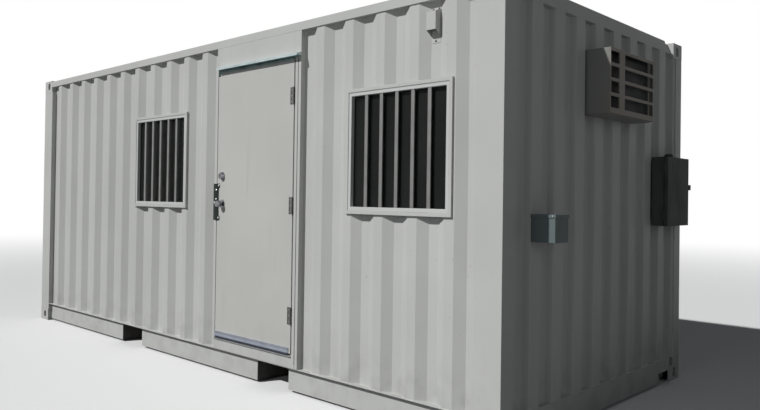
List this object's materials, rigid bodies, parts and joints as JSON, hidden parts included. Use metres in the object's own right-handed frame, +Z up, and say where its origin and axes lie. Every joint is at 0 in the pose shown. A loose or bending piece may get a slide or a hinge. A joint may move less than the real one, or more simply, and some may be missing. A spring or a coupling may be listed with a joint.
{
  "type": "shipping container cabin",
  "caption": "Steel freight container turned into a site cabin, with a hinged personnel door, barred windows, a wall cooler and electrical boxes.",
  "frame": {"origin": "middle of the plan, level with the feet of the four bottom corner castings", "axes": "+X along the length towards the end wall with the cooler, -Y towards the side with the door, +Z up"},
  "size_m": [6.21, 2.494, 2.591],
  "materials": {
    "wall_paint": "off-white satin paint on steel",
    "frame_paint": "off-white satin paint on steel",
    "door_paint": "warm off-white satin paint on a steel door",
    "under_paint": "dark chassis paint",
    "plywood": "sealed marine plywood",
    "lining": "matt white wall board",
    "window_metal": "white coated aluminium",
    "glass": "clear dark window glass",
    "trim_metal": "mill finish aluminium",
    "chrome": "satin chrome",
    "hinge_metal": "dull zinc-plated steel",
    "ac_plastic": "weathered light grey housing",
    "junction_grey": "mid-grey painted steel box",
    "switch_grey": "dark grey painted steel box"
  },
  "bodies": {
    "root": {"bottom_castings": "frame_paint", "top_castings": "frame_paint", "corner_posts": "frame_paint", "bottom_side_rails": "frame_paint", "top_side_rails": "frame_paint", "bottom_end_rails": "frame_paint", "top_end_rails": "frame_paint", "cross_members": "under_paint", "fork_pockets": "under_paint", "floor_boards": "plywood", "roof_panel": "wall_paint", "front_wall_left": "wall_paint", "front_wall_right": "wall_paint", "back_wall": "wall_paint", "end_wall_right": "wall_paint", "end_wall_left": "wall_paint", "door_posts": "frame_paint", "door_header": "frame_paint", "door_sill": "frame_paint", "door_frame": "frame_paint", "threshold": "trim_metal", "drip_cap": "trim_metal", "hinge_leaves_frame": "hinge_metal", "window_frames": "window_metal", "window_glass": "glass", "window_guards": "frame_paint", "vent_hood": "wall_paint", "ac_case": "ac_plastic", "ac_grille": "ac_plastic", "junction_box": "junction_grey", "disconnect_box": "switch_grey", "lining_front_left": "lining", "lining_front_right": "lining", "lining_over_door": "lining", "lining_back": "lining", "lining_end_left": "lining", "lining_end_right": "lining", "ceiling": "lining"},
    "door": {"door_leaf": "door_paint", "door_sweep": "trim_metal", "deadbolt": "chrome", "door_knob": "chrome", "latch_guard": "chrome", "hinge_leaves_door": "hinge_metal"},
    "cover": {"disconnect_cover": "switch_grey"}
  },
  "joints": [
    {"name": "door_swing", "type": "hinge", "parent": "root", "child": "door", "pos_m": [1.2795, -1.228, 1.308], "axis": [0, 0, 1], "range_deg": [0, 150]},
    {"name": "cover_swing", "type": "hinge", "parent": "root", "child": "cover", "pos_m": [3.1135, 0.688, 1.446], "axis": [0, 0, -1], "range_deg": [0, 120]}
  ]
}
